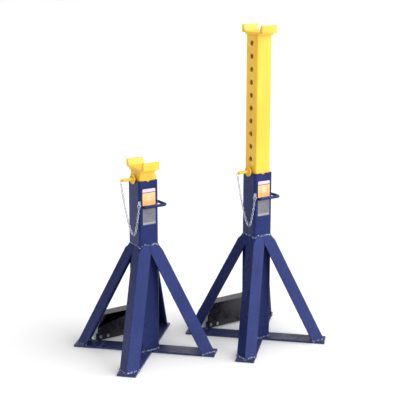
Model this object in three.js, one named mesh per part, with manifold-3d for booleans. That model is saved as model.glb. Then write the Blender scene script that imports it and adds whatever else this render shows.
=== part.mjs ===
// A pair of tall pin-type axle stands, millimetres, +Z up.
//
// Each stand is a square guide tube on a cross of flat bars, braced by four angle-iron legs. A square lift
// column with a trough-shaped saddle slides in the tube and hangs on a support pin, which lies in two
// half-round notches in the tube's top edge. A tip-and-roll axle with two wheels sits in a folded housing.
// The low stand is pinned through its top hole and the high stand through its bottom hole.

import * as THREE from 'three';
import { mergeVertices } from 'three/addons/utils/BufferGeometryUtils.js';
import Module from 'manifold-3d';

const wasm = await Module();
wasm.setup();

// ---- driving dimensions -------------------------------------------------------------------------------

const GAP = 0.3;                // clearance kept where two pieces touch

const BAR_LENGTH = 536;         // tip to tip across the foot of a stand
const BAR_WIDTH = 68;
const BAR_THICK = 8;

const TUBE_SIDE = 80;
const TUBE_WALL = 5;
const TUBE_RADIUS = 9;
const TUBE_TOP = 650;

const COLUMN_SIDE = 67;
const COLUMN_WALL = 6.5;
const COLUMN_RADIUS = 6;
const COLUMN_LENGTH = 669;
const HOLE_COUNT = 11;
const HOLE_PITCH = 47;
const HOLE_RADIUS = 9.5;
const TOP_HOLE_DEPTH = 28;      // from the column's top end down to its first hole

const PIN_RADIUS = 8.75;
const PIN_HEIGHT = 654;         // height of the pin's axis
const PIN_FAR_END = 54;         // how far the shank reaches past the column's axis
const COLLAR_RADIUS = 18;
const COLLAR_THICK = 6;
const GRIP_RADIUS = 6;
const GRIP_END = 94;            // grip's free end, from the column's axis
const PIN_EYE = 90;             // eye in the grip's flattened end, from the column's axis
const EYE_RADIUS = 2.4;
const TAB_LENGTH = 9;
const TAB_HALF = 2;
const NOTCH_RADIUS = 9.5;

const LEG_FLANGE = 50;          // equal angle
const LEG_THICK = 5;
const LEG_TOP = 394;
const RIDGE_TOP = 69;           // ridge to stand axis, at the leg's top
const RIDGE_FOOT = 264;         // ridge to stand axis, on the bar
const LEG_SLOPE = 26;           // rise of the leg's sloping top towards the tube

const SADDLE_LENGTH = 66;
const SADDLE_HALF_WIDTH = 61.5;
const SADDLE_HEIGHT = 36;
const SADDLE_WALL = 9;
const SADDLE_FLOOR = 11;        // trough floor above the column's top
const SADDLE_UNDERSIDE = 7;     // underside of the saddle's shoulders, outside the column

const HANDLE_RADIUS = 5.5;
const HANDLE_HEIGHT = 555;
const HANDLE_REACH = 30;        // tube face to the middle of the handle's bridge
const HANDLE_BEND = 12;
const HANDLE_START = -24;       // where its two arms begin along the tube's faces

const LABEL_WIDTH = 53;
const LABEL_THICK = 0.6;
const UPPER_LABEL = [560, 621]; // bottom and top edge
const LOWER_LABEL = [489, 551];

const AXLE_RADIUS = 6;
const AXLE_OUT = 200;           // wheel axle to the stand's axis
const AXLE_HEIGHT = 40;
const WHEEL_RADIUS = 37.5;
const WHEEL_WIDTH = 20;
const WHEEL_INNER = 92.5;       // wheel's inner side face, from the stand's middle
const HUB_RADIUS = 15;
const RIM_DEPTH = 8;
const WEB_RECESS = 3;           // wheel's web, in from its side faces
const AXLE_HEAD_RADIUS = 9;
const AXLE_HEAD_THICK = 3.5;

const HOUSING_FRONT = 150;      // housing's inner wall to the stand's axis
const HOUSING_DEPTH = 48;
const HOUSING_TOP = 108;
const HOUSING_BOTTOM = 9;
const HOUSING_HALF = 90;        // end plates
const HOUSING_WING = 117;       // the inner wall runs on past the end plates to the lugs
const WING_TOP = 62;
const PLATE_BOTTOM = 15;        // lower edge of the end plates
const PLATE_EAR = 14;           // radius of the end plates round the axle
const SHEET = 3;

const LUG_THICK = 4;
const LUG_TOP = 36;
const LUG_SPAN = [98, 124];     // inner and outer edge, from the stand's middle
const BOLT_RADIUS = 4;
const BOLT_HEIGHT = 22;
const BOLT_INNER = 76;
const BOLT_OUTER = 107;
const BOLT_HEAD_RADIUS = 7.5;   // across corners
const BOLT_HEAD_THICK = 5;
const BOLT_LENGTH = 14;

// Chain: its staple stands on the tube's front corner, at 225 degrees. The free end is on the pin's grip.
const CHAIN_RADIUS = 1.7;
const STAPLE_HEIGHT = 570;
const STAPLE_OUT = 59.6;        // staple's middle to the stand's axis
const STAPLE_RADIUS = 5;
const STAPLE_WIRE = 1.6;
const ANCHOR_RING_RADIUS = 5.5;
const ANCHOR_RING_WIRE = 1.2;
const ANCHOR_RING_DROP = 7.5;   // ring's middle below the staple's
const CHAIN_BOTTOM = [-58, -30, 453];
const CHAIN_TIP = [-90, 0, 636];

// The two stands, each turned the same way. The wheels reach past the bars on one side, so both stands sit
// off centre by WHEEL_SHIFT, which brings the origin to the middle of the pair's footprint.
const WHEEL_SHIFT = 12;
const LOW_PLACE = [-209.8, 62.3 - WHEEL_SHIFT];
const HIGH_PLACE = [209.8, -62.3 - WHEEL_SHIFT];

// ---- materials ----------------------------------------------------------------------------------------

const paint = (color, roughness, metalness) => () =>
  new THREE.MeshStandardMaterial({ color, roughness, metalness });
const bluePaint = paint(0x2b3470, 0.3, 0.1);
const yellowPaint = paint(0xf2c230, 0.35, 0.1);
const blackPaint = paint(0x1c1c22, 0.25, 0.1);
const zinc = paint(0xa8aab8, 0.35, 0.9);
const wheelPlastic = paint(0xbfcdca, 0.5, 0.0);
const orangeFilm = paint(0xefb06a, 0.5, 0.0);
const greyFilm = paint(0x85858f, 0.5, 0.0);

// ---- solids -------------------------------------------------------------------------------------------

function toSolid(geometry, matrix) {
  const bare = geometry.clone();
  bare.deleteAttribute('normal');
  bare.deleteAttribute('uv');
  if (matrix) bare.applyMatrix4(matrix);
  const merged = mergeVertices(bare, 1e-4);
  return new wasm.Manifold(new wasm.Mesh({
    numProp: 3,
    vertProperties: new Float32Array(merged.attributes.position.array),
    triVerts: new Uint32Array(merged.index.array),
  }));
}

function toGeometry(solid) {
  const { vertProperties, triVerts } = solid.getMesh();
  const geometry = new THREE.BufferGeometry();
  geometry.setAttribute('position', new THREE.BufferAttribute(new Float32Array(vertProperties), 3));
  geometry.setIndex(new THREE.BufferAttribute(new Uint32Array(triVerts), 1));
  geometry.computeVertexNormals();
  return geometry;
}

const shift = (x, y, z) => new THREE.Matrix4().makeTranslation(x, y, z);

function block(x0, x1, y0, y1, z0, z1) {
  const box = new THREE.BoxGeometry(x1 - x0, y1 - y0, z1 - z0);
  return toSolid(box, shift((x0 + x1) / 2, (y0 + y1) / 2, (z0 + z1) / 2));
}

// A round bar with its middle at the given point, lying along the given direction.
function roundBar(radius, length, direction, middle, sides = 16) {
  const turn = new THREE.Quaternion().setFromUnitVectors(
    new THREE.Vector3(0, 1, 0), new THREE.Vector3(...direction));
  const place = new THREE.Matrix4().compose(
    new THREE.Vector3(...middle), turn, new THREE.Vector3(1, 1, 1));
  return toSolid(new THREE.CylinderGeometry(radius, radius, length, sides), place);
}

function roundedSquare(side, radius) {
  const half = side / 2;
  const inset = half - radius;
  const shape = new THREE.Shape();
  shape.moveTo(inset, -half);
  shape.absarc(inset, -inset, radius, -Math.PI / 2, 0, false);
  shape.absarc(inset, inset, radius, 0, Math.PI / 2, false);
  shape.absarc(-inset, inset, radius, Math.PI / 2, Math.PI, false);
  shape.absarc(-inset, -inset, radius, Math.PI, Math.PI * 1.5, false);
  return shape;
}

function squarePrism(side, radius, bottom, top) {
  const options = { depth: top - bottom, bevelEnabled: false, curveSegments: 3 };
  return toSolid(new THREE.ExtrudeGeometry(roundedSquare(side, radius), options), shift(0, 0, bottom));
}

function polygon(points) {
  return new THREE.Shape(points.map(([x, y]) => new THREE.Vector2(x, y)));
}

// Extrudes an outline drawn in the YZ plane along X, centred on x = 0.
function extrudeAlongX(points, length) {
  const geometry = new THREE.ExtrudeGeometry(polygon(points), { depth: length, bevelEnabled: false });
  const axes = new THREE.Matrix4().makeBasis(
    new THREE.Vector3(0, 1, 0), new THREE.Vector3(0, 0, 1), new THREE.Vector3(1, 0, 0));
  return toSolid(geometry, shift(-length / 2, 0, 0).multiply(axes));
}

function tubeAlong(points, radius, sides, steps) {
  const section = new THREE.Shape();
  for (let i = 0; i < sides; i += 1) {
    const angle = (i / sides) * Math.PI * 2;
    const method = i === 0 ? 'moveTo' : 'lineTo';
    section[method](radius * Math.cos(angle), radius * Math.sin(angle));
  }
  section.closePath();
  const path = points instanceof THREE.Curve ? points : new THREE.CatmullRomCurve3(points);
  const options = { steps, bevelEnabled: false, extrudePath: path };
  return toSolid(new THREE.ExtrudeGeometry(section, options));
}

// ---- base ---------------------------------------------------------------------------------------------

const COS45 = Math.SQRT1_2;

// Turns a solid built along +X to one of the four diagonals.
const turned = (solid, degrees) => solid.rotate([0, 0, degrees]);

// A length on one side of the stand's middle plane as a pair of X limits in rising order.
const onSide = (sideSign, a, b) => [sideSign * a, sideSign * b].sort((p, q) => p - q);

function longBar() {
  const half = BAR_LENGTH / 2;
  return turned(block(-half, half, -BAR_WIDTH / 2, BAR_WIDTH / 2, 0, BAR_THICK), 135);
}

function halfBar(degrees) {
  const start = BAR_WIDTH / 2 + GAP;
  return turned(block(start, BAR_LENGTH / 2, -BAR_WIDTH / 2, BAR_WIDTH / 2, 0, BAR_THICK), degrees);
}

// ---- guide tube and legs ------------------------------------------------------------------------------

function guideTube() {
  const bottom = BAR_THICK + GAP;
  const inner = TUBE_SIDE - 2 * TUBE_WALL;
  let tube = squarePrism(TUBE_SIDE, TUBE_RADIUS, bottom, TUBE_TOP);
  tube = tube.subtract(squarePrism(inner, TUBE_RADIUS - TUBE_WALL, bottom - 1, TUBE_TOP + 1));
  for (const direction of [[1, 0, 0], [0, 1, 0]]) {
    const notch = roundBar(NOTCH_RADIUS, TUBE_SIDE + 4, direction, [0, 0, PIN_HEIGHT + 0.4], 16);
    tube = tube.subtract(notch);
  }
  return tube;
}

// Angle iron along +Z, ridge towards +X with its outside edge on the axis.
function angleIron(length) {
  const across = LEG_FLANGE * COS45;
  const thick = LEG_THICK / COS45;
  const tip = LEG_THICK * COS45;
  const outline = polygon([
    [0, 0], [-across, across], [-across - tip, across - tip],
    [-thick, 0], [-across - tip, tip - across], [-across, -across],
  ]);
  return new THREE.ExtrudeGeometry(outline, { depth: length, bevelEnabled: false });
}

function leg(degrees) {
  const foot = BAR_THICK + GAP;
  const rise = LEG_TOP - foot;
  const lean = Math.atan2(RIDGE_FOOT - RIDGE_TOP, rise);
  const extra = 60;
  const place = shift(RIDGE_FOOT, 0, foot)
    .multiply(new THREE.Matrix4().makeRotationY(-lean))
    .multiply(shift(0, 0, -extra));
  const iron = toSolid(angleIron(rise / Math.cos(lean) + 2 * extra), place);
  // The top end slopes up from the ridge towards the tube.
  const cut = [[-50, foot], [400, foot], [400, LEG_TOP - LEG_SLOPE], [RIDGE_TOP - 2, LEG_TOP],
    [RIDGE_TOP - 30, LEG_TOP + LEG_SLOPE], [-50, LEG_TOP + LEG_SLOPE]];
  const side = new THREE.ExtrudeGeometry(polygon(cut), { depth: 200, bevelEnabled: false });
  const upright = new THREE.Matrix4().makeRotationX(Math.PI / 2).multiply(shift(0, 0, -100));
  // Neighbouring legs meet at the middle of the tube's faces, so each keeps to its own quarter.
  const quarter = new THREE.ExtrudeGeometry(
    polygon([[GAP, 0], [400, 400 - GAP], [400, GAP - 400]]), { depth: 500, bevelEnabled: false });
  const trimmed = turned(iron.intersect(toSolid(side, upright)).intersect(toSolid(quarter)), degrees);
  return trimmed.subtract(squarePrism(TUBE_SIDE + 2 * GAP, TUBE_RADIUS + GAP, 0, LEG_TOP + 100));
}

// ---- lift column, saddle and pin ----------------------------------------------------------------------

// Height of the column's top end when the pin is in the hole with this number, counted from the top.
const columnTop = (hole) => PIN_HEIGHT + TOP_HOLE_DEPTH + (hole - 1) * HOLE_PITCH;

function liftColumn(top) {
  let column = squarePrism(COLUMN_SIDE, COLUMN_RADIUS, top - COLUMN_LENGTH, top);
  const bore = squarePrism(COLUMN_SIDE - 2 * COLUMN_WALL, 1, top - COLUMN_LENGTH - 1, top + 1);
  column = column.subtract(bore);
  for (let i = 0; i < HOLE_COUNT; i += 1) {
    const height = top - TOP_HOLE_DEPTH - i * HOLE_PITCH;
    column = column.subtract(roundBar(HOLE_RADIUS, COLUMN_SIDE + 4, [1, 0, 0], [0, 0, height], 12));
  }
  return column;
}

function saddle(top) {
  const z = top + GAP;
  const w = SADDLE_HALF_WIDTH;
  const half = [[w - 21, 0], [w - 19, SADDLE_UNDERSIDE], [w, SADDLE_UNDERSIDE], [w, SADDLE_HEIGHT],
    [w - SADDLE_WALL, SADDLE_HEIGHT], [w - 18, SADDLE_FLOOR + 3], [w - 24, SADDLE_FLOOR]];
  const mirrored = [...half].reverse().map(([y, height]) => [-y, height]);
  const outline = [...half, ...mirrored].map(([y, height]) => [y, z + height]);
  return extrudeAlongX(outline, SADDLE_LENGTH);
}

function supportPin() {
  const start = TUBE_SIDE / 2 + GAP + COLLAR_THICK / 2;
  const shankLength = PIN_FAR_END + start;
  const shank = roundBar(PIN_RADIUS, shankLength, [1, 0, 0],
    [(PIN_FAR_END - start) / 2, 0, PIN_HEIGHT], 16);
  const gripLength = GRIP_END - start + 2;
  const grip = roundBar(GRIP_RADIUS, gripLength, [1, 0, 0],
    [-(GRIP_END + start - 2) / 2, 0, PIN_HEIGHT], 12);
  // The grip's end is flattened to a tab with an eye for the chain's ring.
  const eye = roundBar(EYE_RADIUS, 10, [0, 1, 0], [-PIN_EYE, 0, PIN_HEIGHT - 1], 8);
  let pin = shank.add(grip).subtract(eye);
  for (const sideSign of [-1, 1]) {
    const [y0, y1] = onSide(sideSign, TAB_HALF, GRIP_RADIUS + 1);
    pin = pin.subtract(
      block(-GRIP_END - 1, TAB_LENGTH - GRIP_END, y0, y1, PIN_HEIGHT - 10, PIN_HEIGHT + 10));
  }
  return pin;
}

function pinCollar() {
  const middle = -(TUBE_SIDE / 2 + GAP + COLLAR_THICK / 2);
  const disc = roundBar(COLLAR_RADIUS, COLLAR_THICK, [1, 0, 0], [middle, 0, PIN_HEIGHT], 18);
  const bore = roundBar(PIN_RADIUS + GAP, COLLAR_THICK + 2, [1, 0, 0], [middle, 0, PIN_HEIGHT], 12);
  return disc.subtract(bore);
}

// ---- chain --------------------------------------------------------------------------------------------

// A wire ring round the given axis.
function wireRing(ringRadius, wireRadius, axis, middle) {
  const profile = [];
  for (let i = 0; i <= 6; i += 1) {
    const angle = (i / 6) * Math.PI * 2;
    profile.push(new THREE.Vector2(
      ringRadius + wireRadius * Math.cos(angle), wireRadius * Math.sin(angle)));
  }
  const turn = new THREE.Quaternion().setFromUnitVectors(
    new THREE.Vector3(0, 1, 0), new THREE.Vector3(...axis).normalize());
  const place = new THREE.Matrix4().compose(
    new THREE.Vector3(...middle), turn, new THREE.Vector3(1, 1, 1));
  return toSolid(new THREE.LatheGeometry(profile, 12), place);
}

// One arm of the hanging chain, from its lowest point up to one end: steep above, curling in below.
function chainArm(end, startShare = 0) {
  const bottom = new THREE.Vector3(...CHAIN_BOTTOM);
  const top = new THREE.Vector3(...end);
  const points = [startShare, 0.05, 0.12, 0.25, 0.45, 0.7, 1].map((share) => {
    const point = bottom.clone().lerp(top, share);
    const bulge = share ** 0.62;
    point.x = bottom.x + (top.x - bottom.x) * bulge;
    point.y = bottom.y + (top.y - bottom.y) * bulge;
    return point;
  });
  return tubeAlong(points, CHAIN_RADIUS, 8, 12);
}

// A wire staple on a small pad that lies on the tube's rounded front corner.
function chainAnchor() {
  const corner = TUBE_SIDE * COS45 - TUBE_RADIUS * (Math.SQRT2 - 1) + GAP;
  const pad = block(corner, corner + 2.5, -5, 5, STAPLE_HEIGHT - 9, STAPLE_HEIGHT + 9);
  const staple = wireRing(STAPLE_RADIUS, STAPLE_WIRE, [0, 1, 0], [STAPLE_OUT, 0, STAPLE_HEIGHT]);
  return turned(pad.add(staple), 225);
}

function anchorRing() {
  const middle = [STAPLE_OUT, 0, STAPLE_HEIGHT - ANCHOR_RING_DROP];
  return turned(wireRing(ANCHOR_RING_RADIUS, ANCHOR_RING_WIRE, [1, 0, 0], middle), 225);
}

// ---- handle and labels --------------------------------------------------------------------------------

function carryHandle() {
  const side = TUBE_SIDE / 2 + GAP + HANDLE_RADIUS;
  const reach = TUBE_SIDE / 2 + HANDLE_REACH;
  const corner = reach - HANDLE_BEND;
  const point = (x, y) => new THREE.Vector3(x, y, HANDLE_HEIGHT);
  const path = new THREE.CurvePath();
  const bendAt = (x0, y0, xc, yc, x1, y1) =>
    path.add(new THREE.QuadraticBezierCurve3(point(x0, y0), point(xc, yc), point(x1, y1)));
  const run = side - HANDLE_BEND;
  path.add(new THREE.LineCurve3(point(HANDLE_START, -side), point(corner, -side)));
  bendAt(corner, -side, reach, -side, reach, -run);
  path.add(new THREE.LineCurve3(point(reach, -run), point(reach, run)));
  bendAt(reach, run, reach, side, corner, side);
  path.add(new THREE.LineCurve3(point(corner, side), point(HANDLE_START, side)));
  return tubeAlong(path, HANDLE_RADIUS, 8, 26);
}

function label([bottom, top]) {
  const back = -TUBE_SIDE / 2 - GAP;
  return block(-LABEL_WIDTH / 2, LABEL_WIDTH / 2, back - LABEL_THICK, back, bottom, top);
}

// ---- wheel set ----------------------------------------------------------------------------------------

function wheelHousing() {
  const front = HOUSING_FRONT;
  const back = front + HOUSING_DEPTH;
  // Inner wall: full width low down, its upper corners cut back clear of the legs.
  const wallShape = polygon([
    [-HOUSING_WING, HOUSING_BOTTOM], [HOUSING_WING, HOUSING_BOTTOM], [HOUSING_WING, WING_TOP],
    [HOUSING_HALF, HOUSING_TOP], [-HOUSING_HALF, HOUSING_TOP], [-HOUSING_WING, WING_TOP],
  ]);
  const upright = shift(0, front + SHEET, 0).multiply(new THREE.Matrix4().makeRotationX(Math.PI / 2));
  let housing = toSolid(
    new THREE.ExtrudeGeometry(wallShape, { depth: SHEET, bevelEnabled: false }), upright);
  housing = housing.add(block(-HOUSING_HALF, HOUSING_HALF, front, back, HOUSING_TOP - SHEET, HOUSING_TOP));
  const bore = roundBar(AXLE_RADIUS + GAP, 400, [1, 0, 0], [0, AXLE_OUT, AXLE_HEIGHT], 12);
  for (const sideSign of [-1, 1]) {
    const [x0, x1] = onSide(sideSign, HOUSING_HALF - SHEET, HOUSING_HALF);
    const ear = roundBar(PLATE_EAR, SHEET, [1, 0, 0], [(x0 + x1) / 2, AXLE_OUT, AXLE_HEIGHT], 12);
    const plate = block(x0, x1, front, back, PLATE_BOTTOM, HOUSING_TOP).add(ear);
    housing = housing.add(plate.subtract(bore));
    for (const x of [BOLT_INNER, BOLT_OUTER]) {
      const hole = roundBar(BOLT_RADIUS + GAP, 10, [0, 1, 0], [sideSign * x, front, BOLT_HEIGHT], 8);
      housing = housing.subtract(hole);
    }
  }
  return housing;
}

function wheel(sideSign) {
  const bore = AXLE_RADIUS + GAP;
  const w = WHEEL_WIDTH / 2;
  const web = w - WEB_RECESS;
  const rim = WHEEL_RADIUS - RIM_DEPTH;
  const profile = [
    [bore, -w], [HUB_RADIUS, -w], [HUB_RADIUS, -web], [rim, -web], [rim, -w],
    [WHEEL_RADIUS - 2, -w], [WHEEL_RADIUS, 2 - w], [WHEEL_RADIUS, w - 2], [WHEEL_RADIUS - 2, w],
    [rim, w], [rim, web], [HUB_RADIUS, web], [HUB_RADIUS, w], [bore, w], [bore, -w],
  ].map(([radius, along]) => new THREE.Vector2(radius, along));
  const middle = sideSign * (WHEEL_INNER + w);
  const place = shift(middle, AXLE_OUT, AXLE_HEIGHT).multiply(
    new THREE.Matrix4().makeRotationZ(-Math.PI / 2));
  return toSolid(new THREE.LatheGeometry(profile, 18), place);
}

function wheelAxle() {
  const reach = WHEEL_INNER + WHEEL_WIDTH + 1;
  let axle = roundBar(AXLE_RADIUS, 2 * reach, [1, 0, 0], [0, AXLE_OUT, AXLE_HEIGHT], 12);
  for (const sideSign of [-1, 1]) {
    const head = roundBar(AXLE_HEAD_RADIUS, AXLE_HEAD_THICK, [1, 0, 0],
      [sideSign * (reach + 1.5), AXLE_OUT, AXLE_HEIGHT], 12);
    axle = axle.add(head);
  }
  return axle;
}

// A small upright plate on the base bar behind the housing's wing.
function lug(sideSign) {
  const y0 = HOUSING_FRONT + SHEET + GAP;
  const [x0, x1] = onSide(sideSign, ...LUG_SPAN);
  const plate = block(x0, x1, y0, y0 + LUG_THICK, BAR_THICK + GAP, LUG_TOP);
  const hole = roundBar(BOLT_RADIUS + GAP, 12, [0, 1, 0],
    [sideSign * BOLT_OUTER, y0 + LUG_THICK / 2, BOLT_HEIGHT], 8);
  return plate.subtract(hole);
}

// Hexagon bolt with its head against the inner wall, running towards +Y.
function housingBolt(x) {
  const face = HOUSING_FRONT - GAP;
  const head = roundBar(BOLT_HEAD_RADIUS, BOLT_HEAD_THICK, [0, 1, 0],
    [x, face - BOLT_HEAD_THICK / 2, BOLT_HEIGHT], 6);
  const shank = roundBar(BOLT_RADIUS - GAP, BOLT_LENGTH, [0, 1, 0], [x, face + 5, BOLT_HEIGHT], 8);
  return head.add(shank);
}

// ---- assembly -----------------------------------------------------------------------------------------

function buildStand(prefix, place, hole) {
  const stand = new THREE.Group();
  stand.position.set(place[0], place[1], 0);
  const add = (name, solid, material) => {
    const mesh = new THREE.Mesh(toGeometry(solid), material());
    mesh.name = `${prefix}_${name}`;
    stand.add(mesh);
  };
  const top = columnTop(hole);

  add('base_bar_long', longBar(), bluePaint);
  add('base_bar_front', halfBar(225), bluePaint);
  add('base_bar_back', halfBar(45), bluePaint);
  add('guide_tube', guideTube(), bluePaint);
  add('leg_front', leg(225), bluePaint);
  add('leg_right', leg(315), bluePaint);
  add('leg_back', leg(45), bluePaint);
  add('leg_left', leg(135), bluePaint);
  add('carry_handle', carryHandle(), bluePaint);
  add('upper_label', label(UPPER_LABEL), orangeFilm);
  add('lower_label', label(LOWER_LABEL), greyFilm);

  add('lift_column', liftColumn(top), yellowPaint);
  add('saddle', saddle(top), yellowPaint);
  add('support_pin', supportPin(), yellowPaint);
  add('pin_collar', pinCollar(), yellowPaint);

  const anchorOut = -STAPLE_OUT * COS45;
  const anchorLow = STAPLE_HEIGHT - ANCHOR_RING_DROP - ANCHOR_RING_RADIUS - 3;
  add('chain_anchor', chainAnchor(), zinc);
  add('anchor_ring', anchorRing(), zinc);
  add('pin_ring', wireRing(7, 1.1, [1, 0, 0], [-PIN_EYE, 0, PIN_HEIGHT - 8]), zinc);
  add('chain_anchor_arm', chainArm([anchorOut, anchorOut, anchorLow]), zinc);
  add('chain_pin_arm', chainArm(CHAIN_TIP, 0.02), zinc);

  add('wheel_housing', wheelHousing(), blackPaint);
  add('wheel_axle', wheelAxle(), zinc);
  for (const [side, sideSign] of [['left', -1], ['right', 1]]) {
    add(`wheel_${side}`, wheel(sideSign), wheelPlastic);
    add(`lug_${side}`, lug(sideSign), bluePaint);
    add(`lug_bolt_${side}`, housingBolt(sideSign * BOLT_OUTER), zinc);
    add(`plate_bolt_${side}`, housingBolt(sideSign * BOLT_INNER), zinc);
  }
  return stand;
}

const pair = new THREE.Group();
pair.add(buildStand('low', LOW_PLACE, 1));
pair.add(buildStand('high', HIGH_PLACE, HOLE_COUNT));

export default pair;
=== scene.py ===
"""Two tall pin-type axle stands, one lowered and one raised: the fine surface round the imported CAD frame.

Each sub-part has its own function. A piece is built in the row frame, rides on its body and stands for its
CAD node. Flat steel parts are the CAD's own shapes with rounded edges; round and hollow parts are made
again with smooth sections. Lengths are metres.
"""

import math
import random

import bmesh
import bpy
from mathutils import Matrix, Vector
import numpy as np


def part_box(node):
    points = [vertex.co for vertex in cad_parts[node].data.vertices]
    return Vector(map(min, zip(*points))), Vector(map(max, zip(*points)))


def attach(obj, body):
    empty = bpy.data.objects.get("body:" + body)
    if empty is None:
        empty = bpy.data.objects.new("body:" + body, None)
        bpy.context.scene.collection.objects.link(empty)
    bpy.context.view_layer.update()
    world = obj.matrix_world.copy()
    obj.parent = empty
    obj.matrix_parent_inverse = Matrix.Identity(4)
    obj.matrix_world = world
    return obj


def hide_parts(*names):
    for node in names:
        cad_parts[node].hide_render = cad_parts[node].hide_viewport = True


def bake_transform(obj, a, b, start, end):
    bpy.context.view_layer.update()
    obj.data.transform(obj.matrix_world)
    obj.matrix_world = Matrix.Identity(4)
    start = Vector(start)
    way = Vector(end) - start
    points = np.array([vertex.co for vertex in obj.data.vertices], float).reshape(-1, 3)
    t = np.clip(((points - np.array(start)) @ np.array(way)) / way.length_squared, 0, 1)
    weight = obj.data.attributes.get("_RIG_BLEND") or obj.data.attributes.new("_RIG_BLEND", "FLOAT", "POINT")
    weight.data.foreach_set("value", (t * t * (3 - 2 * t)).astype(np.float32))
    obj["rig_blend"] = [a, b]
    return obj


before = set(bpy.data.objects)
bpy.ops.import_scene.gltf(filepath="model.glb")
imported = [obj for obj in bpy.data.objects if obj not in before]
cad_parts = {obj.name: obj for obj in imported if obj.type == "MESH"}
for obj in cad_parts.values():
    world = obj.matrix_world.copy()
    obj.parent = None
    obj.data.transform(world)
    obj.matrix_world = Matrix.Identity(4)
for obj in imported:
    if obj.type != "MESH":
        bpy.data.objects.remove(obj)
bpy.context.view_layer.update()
scene = bpy.context.scene

STANDS = ("low", "high")
RANDOM_SEED = 20417

# ---- dimensions the frame's boxes don't give ----------------------------------------------------------

TUBE_RADIUS = 0.009
TUBE_WALL = 0.005
COLUMN_RADIUS = 0.006
COLUMN_WALL = 0.0065
HOLE_RADIUS = 0.0095
HOLE_COUNT = 11
HOLE_PITCH = 0.047
TOP_HOLE_DEPTH = 0.028
NOTCH_RADIUS = 0.0095
PIN_RADIUS = 0.00875
GRIP_RADIUS = 0.006
HANDLE_RADIUS = 0.0055
HANDLE_BEND = 0.012
BORE_GAP = 0.0003
AXLE_RADIUS = 0.006
NOTCH_RISE = 0.0044
NOTCH_CUT = 0.012
MERGE_DISTANCE = 0.00002

# The chain's end on the tube, its lowest point and its end on the pin, from the stand's axis.
CHAIN_ANCHOR = Vector((-0.0421, -0.0421, 0.5575))
CHAIN_BOTTOM = Vector((-0.058, -0.030, 0.453))
CHAIN_TIP = Vector((-0.090, 0.0, 0.6390))
LINK_PITCH = 0.0088
LINK_WIRE = 0.0011
LINK_HALF_WIDTH = 0.0029
CHAIN_STEPS = 40
CHAIN_CURL = 0.62
STAPLE_RADIUS = 0.005
STAPLE_WIRE = 0.0016
RING_WIRE = {"anchor": 0.0012, "pin": 0.0011}

WELD_LEG = 0.0034
WELD_FOOT = 0.0042
WELD_SMALL = 0.0018
WELD_SADDLE = 0.0024
BEAD_STEP = 0.22
BEAD_RIPPLE = 0.95
HANDLE_WELDS = ((-0.022, -0.004), (0.014, 0.034))

# ---- camera and studio --------------------------------------------------------------------------------

CAMERA_PLACE = (-1.9875, -2.981, 1.408)
CAMERA_TURN = -33.73
CAMERA_DIP = 13.41
CAMERA_LENS = 90.0

ROOM_LIGHT = 0.14
KEY_FROM = (0.66, -0.66, 0.42)
KEY_STRENGTH = 3.8
TOP_STRENGTH = 2.0


def make_camera():
    data = bpy.data.cameras.new("camera")
    data.sensor_width = 36
    data.lens = CAMERA_LENS
    data.clip_end = 100
    camera = bpy.data.objects.new("camera", data)
    camera.location = CAMERA_PLACE
    camera.rotation_euler = (math.radians(90 - CAMERA_DIP), 0, math.radians(CAMERA_TURN))
    scene.collection.objects.link(camera)
    scene.camera = camera


def soft_sun(name, source, strength, spread):
    """A very wide, even light from one direction, like a large softbox far away."""
    light = bpy.data.lights.new(name, "SUN")
    light.energy = strength
    light.angle = math.radians(spread)
    lamp = bpy.data.objects.new(name, light)
    lamp.rotation_euler = (-Vector(source)).to_track_quat("-Z", "Y").to_euler()
    scene.collection.objects.link(lamp)


def make_studio():
    world = bpy.data.worlds.new("studio")
    scene.world = world
    world.use_nodes = True
    nodes, links = world.node_tree.nodes, world.node_tree.links
    backdrop = nodes["Background"]
    backdrop.inputs["Color"].default_value = (1.0, 1.0, 1.0, 1)
    # The backdrop is white to look at, and dimmer as a light so that gloss paint keeps its depth.
    brightness = nodes.new("ShaderNodeMapRange")
    brightness.inputs["To Min"].default_value = ROOM_LIGHT
    brightness.inputs["To Max"].default_value = 1.0
    links.new(nodes.new("ShaderNodeLightPath").outputs["Is Camera Ray"], brightness.inputs["Value"])
    links.new(brightness.outputs["Result"], backdrop.inputs["Strength"])
    soft_sun("key_light", KEY_FROM, KEY_STRENGTH, 70)
    soft_sun("top_light", (0.0, 0.1, 1.0), TOP_STRENGTH, 150)
    scene.view_settings.view_transform = "Standard"


def make_floor():
    reach = 30.0
    mesh = bpy.data.meshes.new("floor")
    corners = [(-reach, -reach, 0), (reach, -reach, 0), (reach, reach, 0), (-reach, reach, 0)]
    mesh.from_pydata(corners, [], [(0, 1, 2, 3)])
    floor = bpy.data.objects.new("floor", mesh)
    scene.collection.objects.link(floor)
    material = bpy.data.materials.new("floor_white")
    material.use_nodes = True
    shader = material.node_tree.nodes["Principled BSDF"]
    shader.inputs["Base Color"].default_value = (0.92, 0.92, 0.92, 1)
    shader.inputs["Roughness"].default_value = 0.7
    mesh.materials.append(material)


# ---- material nodes -----------------------------------------------------------------------------------

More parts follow.
